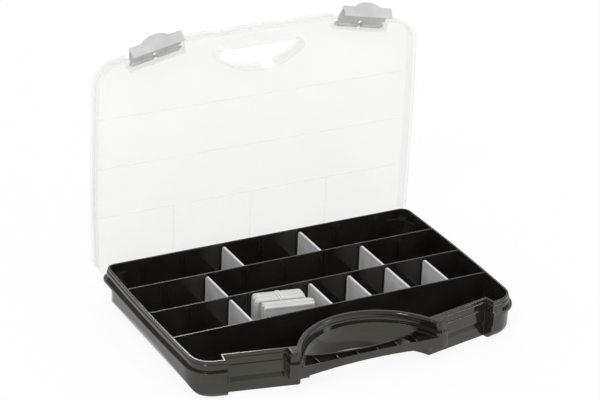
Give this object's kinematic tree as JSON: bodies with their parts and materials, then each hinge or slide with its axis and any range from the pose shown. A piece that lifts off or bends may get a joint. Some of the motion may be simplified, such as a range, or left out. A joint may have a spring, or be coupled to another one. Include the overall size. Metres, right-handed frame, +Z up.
{
  "type": "assortment case",
  "caption": "Flat carrying case for small parts, with long rows of slotted compartments, loose dividers, a see-through lid, two latches and a handle.",
  "frame": {"origin": "middle of the tray's flat underside", "axes": "+X to the right seen from the handle, +Y towards the hinge, +Z up"},
  "size_m": [0.371, 0.2745, 0.2845],
  "materials": {
    "black_plastic": "gloss",
    "clear_plastic": "gloss",
    "grey_plastic": "satin",
    "divider_plastic": "satin",
    "white_elastic": "matte"
  },
  "bodies": {
    "tray": {"base_tray": "black_plastic"},
    "lid": {"lid": "clear_plastic"},
    "latch_left": {"latch_left": "grey_plastic"},
    "latch_right": {"latch_right": "grey_plastic"},
    "divider_row1_slot3": {"divider_row1_slot3": "divider_plastic"},
    "divider_row1_slot5": {"divider_row1_slot5": "divider_plastic"},
    "divider_row2_slot2": {"divider_row2_slot2": "divider_plastic"},
    "divider_row2_slot6": {"divider_row2_slot6": "divider_plastic"},
    "divider_row3_slot2": {"divider_row3_slot2": "divider_plastic"},
    "divider_row3_slot4": {"divider_row3_slot4": "divider_plastic"},
    "divider_row3_slot5": {"divider_row3_slot5": "divider_plastic"},
    "divider_row3_slot6": {"divider_row3_slot6": "divider_plastic"},
    "divider_row3_slot7": {"divider_row3_slot7": "divider_plastic"},
    "spare_stack": {"spare_divider_1": "divider_plastic", "spare_divider_2": "divider_plastic", "spare_divider_3": "divider_plastic", "spare_divider_4": "divider_plastic", "spare_divider_5": "divider_plastic", "spare_divider_6": "divider_plastic", "spare_divider_7": "divider_plastic", "spare_divider_8": "divider_plastic", "spare_divider_9": "divider_plastic", "spare_divider_10": "divider_plastic", "spare_divider_11": "divider_plastic", "spare_divider_12": "divider_plastic", "spare_band": "white_elastic"}
  },
  "joints": [
    {"name": "lid_hinge", "type": "hinge", "parent": "tray", "child": "lid", "pos_m": [0, 0.1245, 0.0225], "axis": [-1, 0, 0], "range_deg": [-90, 0]},
    {"name": "latch_left_hinge", "type": "hinge", "parent": "lid", "child": "latch_left", "pos_m": [-0.11668, 0.139, 0.25651], "axis": [-0.9806, 0, -0.1959], "range_deg": [-55, 0]},
    {"name": "latch_right_hinge", "type": "hinge", "parent": "lid", "child": "latch_right", "pos_m": [0.11668, 0.139, 0.25651], "axis": [-0.9806, 0, 0.1959], "range_deg": [-55, 0]},
    {"name": "divider_row1_slot3_lift", "type": "slide", "parent": "tray", "child": "divider_row1_slot3", "axis": [0, 0, 1], "range_m": [0, 0.042]},
    {"name": "divider_row1_slot5_lift", "type": "slide", "parent": "tray", "child": "divider_row1_slot5", "axis": [0, 0, 1], "range_m": [0, 0.042]},
    {"name": "divider_row2_slot2_lift", "type": "slide", "parent": "tray", "child": "divider_row2_slot2", "axis": [0, 0, 1], "range_m": [0, 0.042]},
    {"name": "divider_row2_slot6_lift", "type": "slide", "parent": "tray", "child": "divider_row2_slot6", "axis": [0, 0, 1], "range_m": [0, 0.042]},
    {"name": "divider_row3_slot2_lift", "type": "slide", "parent": "tray", "child": "divider_row3_slot2", "axis": [0, 0, 1], "range_m": [0, 0.042]},
    {"name": "divider_row3_slot4_lift", "type": "slide", "parent": "tray", "child": "divider_row3_slot4", "axis": [0, 0, 1], "range_m": [0, 0.042]},
    {"name": "divider_row3_slot5_lift", "type": "slide", "parent": "tray", "child": "divider_row3_slot5", "axis": [0, 0, 1], "range_m": [0, 0.042]},
    {"name": "divider_row3_slot6_lift", "type": "slide", "parent": "tray", "child": "divider_row3_slot6", "axis": [0, 0, 1], "range_m": [0, 0.042]},
    {"name": "divider_row3_slot7_lift", "type": "slide", "parent": "tray", "child": "divider_row3_slot7", "axis": [0, 0, 1], "range_m": [0, 0.042]},
    {"name": "spare_stack_lift", "type": "slide", "parent": "tray", "child": "spare_stack", "axis": [0, 0, 1], "range_m": [0, 0.045]}
  ]
}
